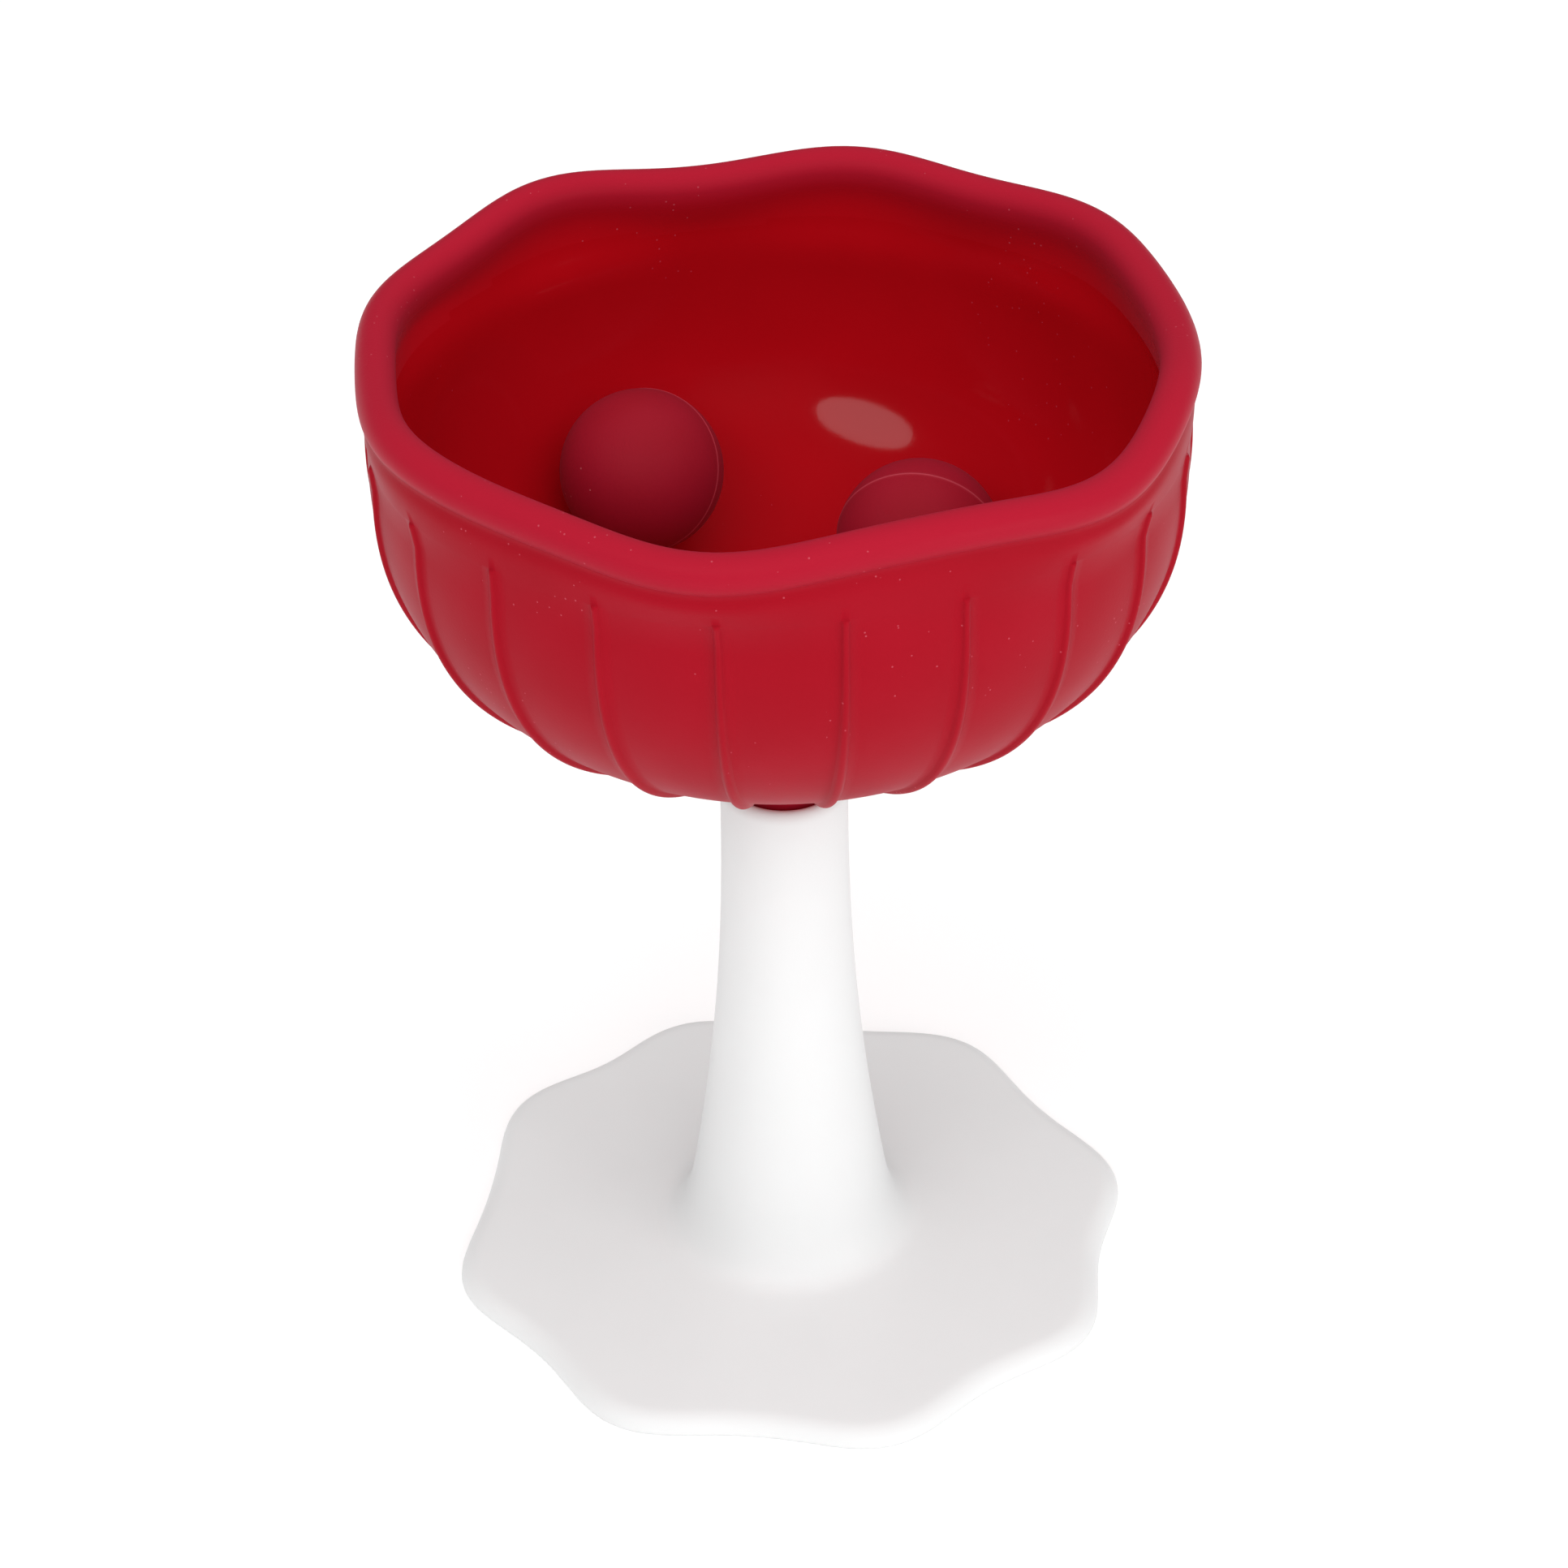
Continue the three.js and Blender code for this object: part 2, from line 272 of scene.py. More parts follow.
class Nodes:
    """A small builder for one node tree."""

    def __init__(self, tree: bpy.types.NodeTree) -> None:
        """Starts with an empty tree.

        Args:
            tree: The tree to fill.
        """
        self.tree = tree
        self.tree.nodes.clear()

    def add(self, kind: str, **settings: object) -> bpy.types.Node:
        """Adds a node.

        Args:
            kind: The node's type name.
            settings: Properties of the node, by name.

        Returns:
            The node.
        """
        node = self.tree.nodes.new(kind)
        for key, value in settings.items():
            setattr(node, key, value)
        return node

    def link(self, out: bpy.types.NodeSocket, to: bpy.types.NodeSocket) -> None:
        """Links one socket to another."""
        self.tree.links.new(out, to)

    def math(self, operation: str, a: object, b: object = 0.0) -> bpy.types.NodeSocket:
        """Adds a Math node.

        Args:
            operation: The node's operation.
            a: A socket or a number for the first value.
            b: A socket or a number for the second value.

        Returns:
            The node's output.
        """
        node = self.add("ShaderNodeMath", operation=operation)
        for socket, value in zip(node.inputs, (a, b)):
            if isinstance(value, bpy.types.NodeSocket):
                self.link(value, socket)
            else:
                socket.default_value = value
        return node.outputs[0]

    def ramp(self, value: bpy.types.NodeSocket, low: float, high: float) -> bpy.types.NodeSocket:
        """Adds a Map Range node from 0 to 1, clamped.

        Args:
            value: The socket to map.
            low: The value that gives 0.
            high: The value that gives 1.

        Returns:
            The mapped value.
        """
        node = self.add("ShaderNodeMapRange", clamp=True)
        self.link(value, node.inputs["Value"])
        node.inputs["From Min"].default_value = low
        node.inputs["From Max"].default_value = high
        return node.outputs["Result"]

    def mix(
        self, share: bpy.types.NodeSocket, a: tuple[float, ...], b: tuple[float, ...]
    ) -> bpy.types.NodeSocket:
        """Mixes two colours.

        Args:
            share: How much of the second one, from 0 to 1.
            a: The first colour.
            b: The second colour.

        Returns:
            The mixed colour.
        """
        node = self.add("ShaderNodeMix", data_type="RGBA")
        self.link(share, node.inputs["Factor"])
        node.inputs["A"].default_value = (*a, 1.0)
        node.inputs["B"].default_value = (*b, 1.0)
        return node.outputs["Result"]

    def blend(
        self,
        share: bpy.types.NodeSocket,
        under: bpy.types.NodeSocket,
        over: tuple[float, float, float],
    ) -> bpy.types.NodeSocket:
        """Lays a colour over another.

        Args:
            share: How much of the upper colour shows, from 0 to 1.
            under: The lower colour.
            over: The upper colour.

        Returns:
            The mixed colour.
        """
        node = self.add("ShaderNodeMix", data_type="RGBA")
        self.link(share, node.inputs["Factor"])
        self.link(under, node.inputs["A"])
        node.inputs["B"].default_value = (*over, 1.0)
        return node.outputs["Result"]


def new_group(
    name: str, inputs: dict[str, float], outputs: tuple[str, ...]
) -> tuple[bpy.types.NodeTree, Nodes, bpy.types.Node, bpy.types.Node]:
    """Starts a shader node group with named sockets.

    Args:
        name: The group's name.
        inputs: Its number inputs and their default values.
        outputs: Its number outputs.

    Returns:
        The group, its builder, its input node and its output node.
    """
    tree = bpy.data.node_groups.new(name, "ShaderNodeTree")
    build = Nodes(tree)
    tree.interface.new_socket("Vector", in_out="INPUT", socket_type="NodeSocketVector")
    for key, value in inputs.items():
        socket = tree.interface.new_socket(key, in_out="INPUT", socket_type="NodeSocketFloat")
        socket.default_value = value
    for key in outputs:
        tree.interface.new_socket(key, in_out="OUTPUT", socket_type="NodeSocketFloat")
    return tree, build, build.add("NodeGroupInput"), build.add("NodeGroupOutput")


def moulded_skin_group() -> bpy.types.NodeTree:
    """The faint unevenness of a moulded skin, as a height and a mottle.

    Returns:
        The group: Height for a Bump node, and Mottle from 0 to 1.
    """
    tree, n, ins, outs = new_group(
        "moulded_skin",
        {"Broad Scale": 60.0, "Fine Scale": 2200.0, "Fine Share": 0.3},
        ("Height", "Mottle"),
    )
    broad = n.add("ShaderNodeTexNoise")
    fine = n.add("ShaderNodeTexNoise")
    for noise, scale in ((broad, "Broad Scale"), (fine, "Fine Scale")):
        n.link(ins.outputs["Vector"], noise.inputs["Vector"])
        n.link(ins.outputs[scale], noise.inputs["Scale"])
        noise.inputs["Detail"].default_value = NOISE_DETAIL
    grain = n.math("MULTIPLY", fine.outputs["Fac"], ins.outputs["Fine Share"])
    n.link(n.math("ADD", broad.outputs["Fac"], grain), outs.inputs["Height"])
    n.link(n.ramp(broad.outputs["Fac"], *MOTTLE_RANGE), outs.inputs["Mottle"])
    return tree


def dust_group() -> bpy.types.NodeTree:
    """Sparse specks of lint and dust that cling to a soft surface.

    Returns:
        The group, whose output Specks is 1 on a speck.
    """
    tree, n, ins, outs = new_group(
        "dust_specks",
        {"Scale": 620.0, "Size": 0.085, "Patch Scale": 45.0, "Rarity": 0.5},
        ("Specks",),
    )
    cells = n.add("ShaderNodeTexVoronoi", feature="F1")
    n.link(ins.outputs["Vector"], cells.inputs["Vector"])
    n.link(ins.outputs["Scale"], cells.inputs["Scale"])
    near = n.math("LESS_THAN", cells.outputs["Distance"], ins.outputs["Size"])
    patches = n.add("ShaderNodeTexNoise")
    n.link(ins.outputs["Vector"], patches.inputs["Vector"])
    n.link(ins.outputs["Patch Scale"], patches.inputs["Scale"])
    here = n.math("GREATER_THAN", patches.outputs["Fac"], ins.outputs["Rarity"])
    n.link(n.math("MULTIPLY", near, here), outs.inputs["Specks"])
    return tree


# ---- Finishes ------------------------------------------------------------------------


@dataclass(frozen=True)
class Finish:
    """What one material looks like.

    Where the mesh's blend attribute rises from 0 to 1, the colour turns to turns_to and
    the roughness to turns_rough. Where its rim attribute rises, the colour turns to rim, a
    paler colour that paints light on the lip and the neck.
    """

    name: str
    colour: tuple[float, float, float]
    mottle: tuple[float, float, float]
    roughness: float
    roughness_spread: float
    specular: float
    bump: float
    dust: tuple[float, float, float] | None = None
    dust_rarity: float = 0.5
    sheen: float = 0.0
    turns_to: tuple[float, float, float] | None = None
    turns_rough: float = 0.4
    painted_light: tuple[float, float, float] | None = None


class Finishes(Enum):
    """The finishes of the cup."""

    BOWL_OUTSIDE = Finish(
        name="silicone_satin_painted_light",
        colour=(0.345, 0.0032, 0.013),
        mottle=(0.325, 0.0028, 0.011),
        roughness=0.42,
        roughness_spread=0.05,
        specular=0.045,
        bump=0.05,
        dust=(0.47, 0.06, 0.085),
        dust_rarity=0.52,
        sheen=0.04,
        # The lip fades into the inside's colour, which is painted brighter, and into its polish.
        turns_to=(0.43, 0.0028, 0.0072),
        turns_rough=0.12,
        # Painted light: the lip and the neck turn paler and pinker, a painted highlight on the lip
        # and painted light in the belly's shade on the neck.
        painted_light=(0.385, 0.0085, 0.025),
    )
    # The inside is the same silicone as the outside, its colour painted brighter and deeper red to
    # stand in for light inside the bowl; its low roughness is its own polish.
    BOWL_INSIDE = Finish(
        name="silicone_polished_painted_light",
        colour=(0.43, 0.0028, 0.0072),
        mottle=(0.41, 0.0026, 0.0066),
        roughness=0.07,
        roughness_spread=0.02,
        specular=0.4,
        bump=0.012,
        dust=(0.47, 0.03, 0.05),
        dust_rarity=0.62,
    )
    BALL = Finish(
        name="ball_matte",
        colour=(0.32, 0.0065, 0.022),
        mottle=(0.29, 0.005, 0.015),
        roughness=0.62,
        roughness_spread=0.06,
        specular=0.15,
        bump=0.08,
        dust=(0.50, 0.12, 0.14),
        dust_rarity=0.60,
        sheen=0.02,
        turns_to=(0.46, 0.05, 0.075),
        turns_rough=0.5,
    )
    STAND = Finish(
        name="stand_white",
        colour=(0.80, 0.81, 0.81),
        mottle=(0.787, 0.797, 0.797),
        roughness=0.42,
        roughness_spread=0.05,
        specular=0.25,
        bump=0.03,
    )


class Paintbox:
    """Makes each finish's material once, with the shared effects as node groups."""

    def __init__(self) -> None:
        """Builds the shared groups."""
        self.skin = moulded_skin_group()
        self.dust = dust_group()
        self.made: dict[Finishes, bpy.types.Material] = {}

    def material(self, choice: Finishes) -> bpy.types.Material:
        """The material of a finish.

        Args:
            choice: Which finish.

        Returns:
            The material, made on first use.
        """
        if choice not in self.made:
            self.made[choice] = self._make(choice.value)
        return self.made[choice]

    def _make(self, finish: Finish) -> bpy.types.Material:
        """Builds a finish's material.

        Args:
            finish: Its values.

        Returns:
            The material.
        """
        material = bpy.data.materials.new(finish.name)
        material.use_nodes = True
        n = Nodes(material.node_tree)
        out = n.add("ShaderNodeOutputMaterial")
        shader = n.add("ShaderNodeBsdfPrincipled")
        n.link(shader.outputs["BSDF"], out.inputs["Surface"])
        shader.inputs["Specular IOR Level"].default_value = finish.specular
        shader.inputs["Sheen Weight"].default_value = finish.sheen
        shader.inputs["Sheen Roughness"].default_value = SHEEN_ROUGHNESS
        shader.inputs["Sheen Tint"].default_value = SHEEN_TINT

        place = n.add("ShaderNodeTexCoord").outputs["Object"]
        skin = n.add("ShaderNodeGroup", node_tree=self.skin)
        n.link(place, skin.inputs["Vector"])
        colour = n.mix(skin.outputs["Mottle"], finish.colour, finish.mottle)
        spread = n.math("MULTIPLY", skin.outputs["Mottle"], finish.roughness_spread)
        roughness = n.math("ADD", spread, finish.roughness)
        # Painted light: a paler colour on the lip and the neck, where the mesh's painted-light
        # attribute rises.
        if finish.painted_light:
            painted_light = n.add("ShaderNodeAttribute", attribute_name=PAINTED_LIGHT).outputs["Fac"]
            colour = n.blend(painted_light, colour, finish.painted_light)
        if finish.turns_to:
            blend = n.add("ShaderNodeAttribute", attribute_name=BLEND).outputs["Fac"]
            colour = n.blend(blend, colour, finish.turns_to)
            change = n.math("SUBTRACT", finish.turns_rough, roughness)
            roughness = n.math("ADD", roughness, n.math("MULTIPLY", change, blend))
        if finish.dust:
            dust = n.add("ShaderNodeGroup", node_tree=self.dust)
            n.link(place, dust.inputs["Vector"])
            dust.inputs["Rarity"].default_value = finish.dust_rarity
            colour = n.blend(dust.outputs["Specks"], colour, finish.dust)
        n.link(colour, shader.inputs["Base Color"])
        n.link(roughness, shader.inputs["Roughness"])
        bump = n.add("ShaderNodeBump")
        bump.inputs["Strength"].default_value = finish.bump
        bump.inputs["Distance"].default_value = BUMP_DEPTH
        n.link(skin.outputs["Height"], bump.inputs["Height"])
        n.link(bump.outputs["Normal"], shader.inputs["Normal"])
        return material


# ---- Stand ---------------------------------------------------------------------------


@dataclass
class Stand:
    """The white stem, its flare and its lobed foot, one moulding. Sizes in mm.

    The stem's curve leaves the top straight, swells by stem_swell at stem_high_share of
    the height, and is drawn in to stem_draw_in of its base at stem_low_share. The sole
    lists insets and heights under the foot's edge, and core_mouth the rounded way into
    the hollow stem.
    """

    height: float = 88.0
    top_radius: float = 9.7
    base_radius: float = 15.4
    base_height: float = 13.0
    stem_top_fall: float = 6.0
    stem_swell: float = 0.1
    stem_high_share: float = 0.634
    stem_low_share: float = 0.409
    stem_draw_in: float = 0.755
    stem_steps: int = 24
    edge_round: float = 2.0
    edge_steps: int = 12
    socket_radius: float = 7.4
    socket_floor: float = 75.7
    web: float = 3.0
    wall: float = 2.6
    foot_radius: float = 49.8
    foot_thickness: float = 3.0
    foot_shares: tuple[float, ...] = (0.85, 0.65, 0.45, 0.3, 0.2)
    fillet_radius: float = 22.0
    fillet_fall: float = 6.5
    fillet_steep_out: float = 1.1
    fillet_flat_out: float = 2.4
    fillet_steps: int = 14
    edge_roll: float = 3.4
    edge_lift: float = 0.5
    roll_steps: int = 10
    sole: tuple[tuple[float, float], ...] = ((0.15, 0.15), (0.5, 0.0), (16.0, 0.0))
    core_mouth: tuple[tuple[float, float], ...] = ((0.8, 0.0), (0.25, 0.25), (0.0, 0.8))
    core_stops: tuple[float, ...] = (1.0, 0.9, 0.8, 0.7, 0.6, 0.5, 0.4, 0.3, 0.25)
    columns: int = 288

    @property
    def stem(self) -> Curve:
        """The outside of the stem, from under its rounded edge down to its base.

        Returns:
            The curve.
        """
        return Curve((
            (self.top_radius, self.height - self.stem_top_fall),
            (self.top_radius + self.stem_swell, self.stem_high_share * self.height),
            (self.stem_draw_in * self.base_radius, self.stem_low_share * self.height),
            (self.base_radius, self.base_height),
        ))

    @property
    def fillet(self) -> Curve:
        """The sweep from the stem's base out onto the foot.

        Returns:
            The curve.
        """
        return Curve((
            (self.base_radius, self.base_height),
            (self.base_radius + self.fillet_steep_out, self.base_height - self.fillet_fall),
            (self.base_radius + self.fillet_flat_out, self.foot_thickness),
            (self.fillet_radius, self.foot_thickness),
        ))

    def _foot(self, inset: float, z: float) -> Ring:
        """A ring of the foot.

        Args:
            inset: How far in from the foot's edge, in mm.
            z: Its height, in mm.

        Returns:
            The ring, with its share of the lobes.
        """
        r = self.foot_radius - inset
        share = smoothstep(self.fillet_radius, self.foot_radius - self.edge_roll, r)
        return Ring(r, z, reach=share)

    def _socket(self) -> list[Ring]:
        """The socket and the rounded edge round its mouth.

        Returns:
            The rings, in the order of the profile.
        """
        rings = [Ring(0.0, self.socket_floor), Ring(self.socket_radius, self.socket_floor)]
        middle = (self.socket_radius + self.top_radius) / 2
        half = (self.top_radius - self.socket_radius) / 2
        for k in range(self.edge_steps + 1):
            a = math.pi * (1 - k / self.edge_steps)
            z = self.height - self.edge_round * (1 - math.sin(a))
            rings.append(Ring(middle + half * math.cos(a), z))
        return rings

    def _outside(self) -> list[Ring]:
        """The stem, the fillet and the top of the foot, out to its rolled edge.

        Returns:
            The rings, in the order of the profile.
        """
        spots = [self.stem.spot(k / self.stem_steps) for k in range(self.stem_steps + 1)]
        spots += [self.fillet.spot(k / self.fillet_steps) for k in range(1, self.fillet_steps + 1)]
        rings = [Ring(p.r / MM, p.z / MM) for p in spots]
        for share in self.foot_shares:
            inset = share * (self.foot_radius - self.fillet_radius)
            rings.append(self._foot(inset, self.foot_thickness))
        for k in range(self.roll_steps + 1):
            a = (math.pi / 2) * (1 - k / self.roll_steps)
            inset = self.edge_roll * (1 - math.cos(a))
            z = self.edge_lift + (self.foot_thickness - self.edge_lift) * math.sin(a)
            rings.append(self._foot(inset, z))
        return rings

    def _underside(self) -> list[Ring]:
        """The flat sole and the hollow up the stem, to the underside of the web.

        Returns:
            The rings, in the order of the profile.
        """
        rings = [self._foot(inset, z) for inset, z in self.sole]
        core = self.base_radius - self.wall
        rings.extend(Ring(core + out, z) for out, z in self.core_mouth)
        for stop in self.core_stops:
            p = self.stem.spot(stop)
            rings.append(Ring(p.r / MM - self.wall, p.z / MM))
        ceiling = self.socket_floor - self.web
        rings.extend((Ring(self.top_radius - self.wall, ceiling), Ring(0.0, ceiling)))
        return rings

    def build(self, paints: Paintbox) -> bpy.types.Object:
        """Makes the stand.

        Args:
            paints: Where its material comes from.

        Returns:
            The stand's object.
        """
        bm = turn(self._socket() + self._outside() + self._underside(), self.columns)
        reach = bm.verts.layers.float["reach"]
        for v in bm.verts:
            if v[reach] > 0.0:
                theta = math.atan2(v.co.y, v.co.x)
                out = v[reach] * FOOT_WAVE.reach(theta)
                v.co += Vector((math.cos(theta), math.sin(theta), 0.0)) * out
        return finish_piece(
            bm, "stand", "stand", "stem_foot", [paints.material(Finishes.STAND)]
        )


# ---- Bowl ----------------------------------------------------------------------------


@dataclass
class Bowl:
    """The soft bowl with its lip, ribs, neck and plug, one moulding. Sizes in mm.

    The belly's curve is set by shares of the wall's radius and height. floor_dish and
    neck list places by radius and drop, under_lip drops and insets below the bead, and
    rib_fade falls below a rib's top with the share of its height that shows there.
    """

    bottom: float = 99.0
    lip_height: float = 160.7
    wall_radius: float = 58.3
    wall: float = 3.2
    wall_top: float = 150.7
    belly_reach: float = 0.618
    belly_rise: float = 0.10
    shoulder_swell: float = 2.9
    shoulder_rise: float = 0.374
    lip_radius: float = 56.0
    bead: float = 2.9
    bead_turn: float = 230.0
    bead_steps: int = 30
    blend: float = 13.0
    under_lip: tuple[tuple[float, float], ...] = (
        (0.1, 0.42), (0.6, 0.30), (1.2, 0.12), (2.0, 0.03), (3.0, 0.0),
    )
    # How far below the lip's top the painted light fades out, as a share of the bead.
    painted_light_fade: float = 1.1
    polish_from: float = -2.0
    polish_run: float = 9.0
    polish_spare: float = 1.0
    inside_steps: int = 40
    inside_lip_steps: int = 9
    inside_from: float = 3.5
    floor_dish: tuple[tuple[float, float], ...] = ((0.0, 0.15), (3.0, 0.1))
    looks_in: float = 0.2
    looks_up: float = 0.3
    floor_below_polish: float = 20.0
    plug_radius: float = 7.1
    plug_bottom: float = 76.0
    plug_chamfer: float = 1.0
    neck_top: float = 0.5
    neck: tuple[tuple[float, float], ...] = (
        (0.25, 0.05), (0.0, 0.6), (0.0, 2.0), (0.0, 5.0), (0.0, 9.0), (0.0, 14.0),
    )
    rib_count: int = 22
    rib_height: float = 0.85
    rib_top_share: float = 0.7
    rib_half_width: float = 0.78
    rib_top_half_width: float = 0.5
    rib_full_below: float = 0.3
    rib_top: float = 152.9
    rib_fade: tuple[tuple[float, float], ...] = (
        (0.0, 0.0), (0.12, 0.45), (0.3, 0.72), (0.55, 0.92), (0.9, 1.0),
    )
    rib_end: tuple[float, float] = (11.5, 14.0)
    rib_dome: float = 1.12
    rib_skirt: tuple[float, float] = (0.8, 1.3)
    rib_skirt_height: float = 0.10
    rib_crowd: float = 1.35
    per_rib: int = 20
    outside_steps: int = 58

    @property
    def belly(self) -> Curve:
        """The outside of the wall, from the neck to the top of the straight wall.

        Returns:
            The curve.
        """
        tall = self.wall_top - self.bottom
        return Curve((
            (self.plug_radius, self.bottom),
            (self.belly_reach * self.wall_radius, self.bottom + self.belly_rise * tall),
            (self.wall_radius + self.shoulder_swell, self.bottom + self.shoulder_rise * tall),
            (self.wall_radius, self.wall_top),
        ))

    def _wall(self, r: float, z: float, rib: float = 0.0) -> Ring:
        """A ring of wall above the belly.

        Args:
            r: Its radius between lobes, in mm.
            z: Its height between lobes, in mm.
            rib: How much of a rib's height shows there.

        Returns:
            The ring, with its share of the lip's wave.
        """
        wide = smoothstep(self.lip_height - self.blend, self.lip_height - self.bead, z)
        high = smoothstep(self.rib_top, self.lip_height - self.bead, z)
        return Ring(r, z, reach=wide, rise=high, rib=rib)

    def _inside(self) -> list[Ring]:
        """The inside of the wall, from the floor's middle up to the lip.

        Returns:
            The rings, in the order of the profile.
        """
        steps = self.inside_steps
        spots = [self.belly.spot(k / steps) for k in range(steps + 1)]
        inner = [((p.r / MM) + p.nr * self.wall, (p.z / MM) + p.nz * self.wall) for p in spots]
        floor = inner[0][1]
        rings = [Ring(r, floor - drop) for r, drop in self.floor_dish]
        rings.extend(self._wall(r, z) for r, z in inner if r > self.inside_from)
        start = self.wall_radius - self.wall
        end = self.lip_radius - self.bead
        for k in range(1, self.inside_lip_steps + 1):
            t = k / self.inside_lip_steps
            z = self.wall_top + t * (self.lip_height - self.wall_top)
            rings.append(self._wall(start + smoothstep(0.0, 1.0, t) * (end - start), z))
        return rings

    def _bead(self) -> list[Ring]:
        """The rolled lip, from its inner side over the top and under its outer side.

        Returns:
            The rings, in the order of the profile.
        """
        rings = []
        for k in range(1, self.bead_steps + 1):
            a = math.radians(180.0 - k * self.bead_turn / self.bead_steps)
            r = self.lip_radius + self.bead * math.cos(a)
            rings.append(Ring(r, self.lip_height + self.bead * math.sin(a), reach=1.0, rise=1.0))
        return rings

    def _outside(self) -> list[Ring]:
        """The outside of the wall, from under the lip down to the neck.

        Returns:
            The rings, in the order of the profile.
        """
        rings = []
        under = self.lip_height - self.bead
        for drop, inset in self.under_lip:
            rings.append(self._wall(self.wall_radius - inset, under - drop))
        for fall, share in self.rib_fade:
            rings.append(self._wall(self.wall_radius, self.rib_top - fall, share))
        for k in range(1, self.outside_steps - 1):
            p = self.belly.spot(1.0 - k / self.outside_steps)
            r = p.r / MM
            rib = smoothstep(*self.rib_end, r)
            wide = smoothstep(self.lip_height - self.blend, self.lip_height - self.bead, p.z / MM)
            rings.append(Ring(r, p.z / MM, reach=wide, rib=rib, nr=-p.nr, nz=-p.nz))
        return rings

    def _plug(self) -> list[Ring]:
        """The neck and the plug, down to the plug's flat end.

        Returns:
            The rings, in the order of the profile.
        """
        r = self.plug_radius
        rings = [Ring(r + out, self.bottom - drop) for out, drop in self.neck]
        rings.append(Ring(r, self.plug_bottom + self.plug_chamfer))
        rings.append(Ring(r - self.plug_chamfer, self.plug_bottom))
        rings.append(Ring(0.0, self.plug_bottom))
        return rings

    def _rib_size(self, z: float) -> tuple[float, float]:
        """A rib's full height and half width, which both grow from its top down.

        Args:
            z: The height of the ring, in mm.

        Returns:
            The rib's height and half width there, in mm.
        """
        low = self.bottom + self.rib_full_below * (self.wall_top - self.bottom)
        up = smoothstep(low, self.rib_top, z)
        height = self.rib_height * (1.0 - (1.0 - self.rib_top_share) * up)
        return height, self.rib_half_width + up * (self.rib_top_half_width - self.rib_half_width)

    def _local_angle(self, step: int, r: float, half_width: float) -> float:
        """Where a column stands within its rib's pitch.

        Half of the columns crowd onto the rib, whose width in mm stays the same as the
        belly draws in, and the others spread across the bay.

        Args:
            step: The column, counted from the rib's crest, from -half to +half.
            r: The ring's radius, in mm.
            half_width: Half of the rib's width there, in mm.

        Returns:
            The angle from the crest, in radians.
        """
        half = self.per_rib // 2
        on_rib = half // 2
        pitch_half = math.pi / self.rib_count
        edge = min(self.rib_crowd * half_width / r, pitch_half / 2)
        n = abs(step)
        if n <= on_rib:
            angle = edge * n / on_rib
        else:
            angle = edge + (pitch_half - edge) * (n - on_rib) / (half - on_rib)
        return math.copysign(angle, step)

    def _rib_shape(self, across: float, half_width: float) -> float:
        """The rib's rounded section.

        Args:
            across: Distance from the crest, in mm.
            half_width: Half of the rib's width there, in mm.

        Returns:
            Its height as a share of the full height.
        """
        u = abs(across) / half_width
        dome = math.sqrt(max(0.0, 1.0 - (u / self.rib_dome) ** 2))
        skirt = self.rib_skirt_height * (1.0 - smoothstep(*self.rib_skirt, u))
        return max(dome, skirt)

    def build(self, paints: Paintbox) -> bpy.types.Object:
        """Makes the bowl.

        Args:
            paints: Where its materials come from.

        Returns:
            The bowl's object.
        """
        inside = self._inside()
        rings = inside + self._bead() + self._outside() + self._plug()
        columns = self.rib_count * self.per_rib
        bm = turn(rings, columns)
        layer = {name: bm.verts.layers.float[name] for name in SHARES}
        pitch = math.tau / self.rib_count
        for v in bm.verts:
            r = math.hypot(v.co.x, v.co.y)
            if r < CLOSE:
                continue
            column = round(math.atan2(v.co.y, v.co.x) / math.tau * columns)
            rib = round(column / self.per_rib)
            tall, half_width = self._rib_size(v.co.z / MM)
            local = self._local_angle(column - rib * self.per_rib, r / MM, half_width)
            theta = rib * pitch + local
            shape = self._rib_shape(local * r / MM, half_width)
            height = v[layer["rib"]] * tall * MM * shape
            r += v[layer["reach"]] * LIP_WAVE.reach(theta) + height * v[layer["nr"]]
            z = v.co.z + v[layer["rise"]] * LIP_WAVE.rise(theta) + height * v[layer["nz"]]
            v.co = Vector((r * math.cos(theta), r * math.sin(theta), z))
        self._mark_inside(bm)
        self._mark_painted_light_and_polish(bm)
        return finish_piece(
            bm,
            "bowl_shell",
            "bowl",
            "bowl",
            [paints.material(Finishes.BOWL_OUTSIDE), paints.material(Finishes.BOWL_INSIDE)],
        )

    def _mark_painted_light_and_polish(self, bm: bmesh.types.BMesh) -> None:
        """Marks the lip and the neck for painted light, and fades the lip into the polished inside.

        The painted light is a paler colour: a highlight on the lip and light in the neck's shade.

        Args:
            bm: The bowl's mesh, whose blend and painted-light layers are filled.
        """
        blend = bm.verts.layers.float.new(BLEND)
        painted_light = bm.verts.layers.float.new(PAINTED_LIGHT)
        polished = self.polish_from + self.polish_run
        for v in bm.verts:
            theta = math.atan2(v.co.y, v.co.x)
            r = math.hypot(v.co.x, v.co.y) / MM - LIP_WAVE.reach(theta) / MM
            below = self.lip_height - (v.co.z - LIP_WAVE.rise(theta)) / MM
            on_neck = v.co.z < (self.bottom - self.neck_top) * MM
            # Painted light: full on the neck, and fading out below the top of the lip.
            v[painted_light] = 1.0 if on_neck else 1.0 - smoothstep(0.0, self.painted_light_fade * self.bead, below)
            if r < self.lip_radius and below < polished + self.polish_spare:
                v[blend] = smoothstep(self.polish_from, polished, below)

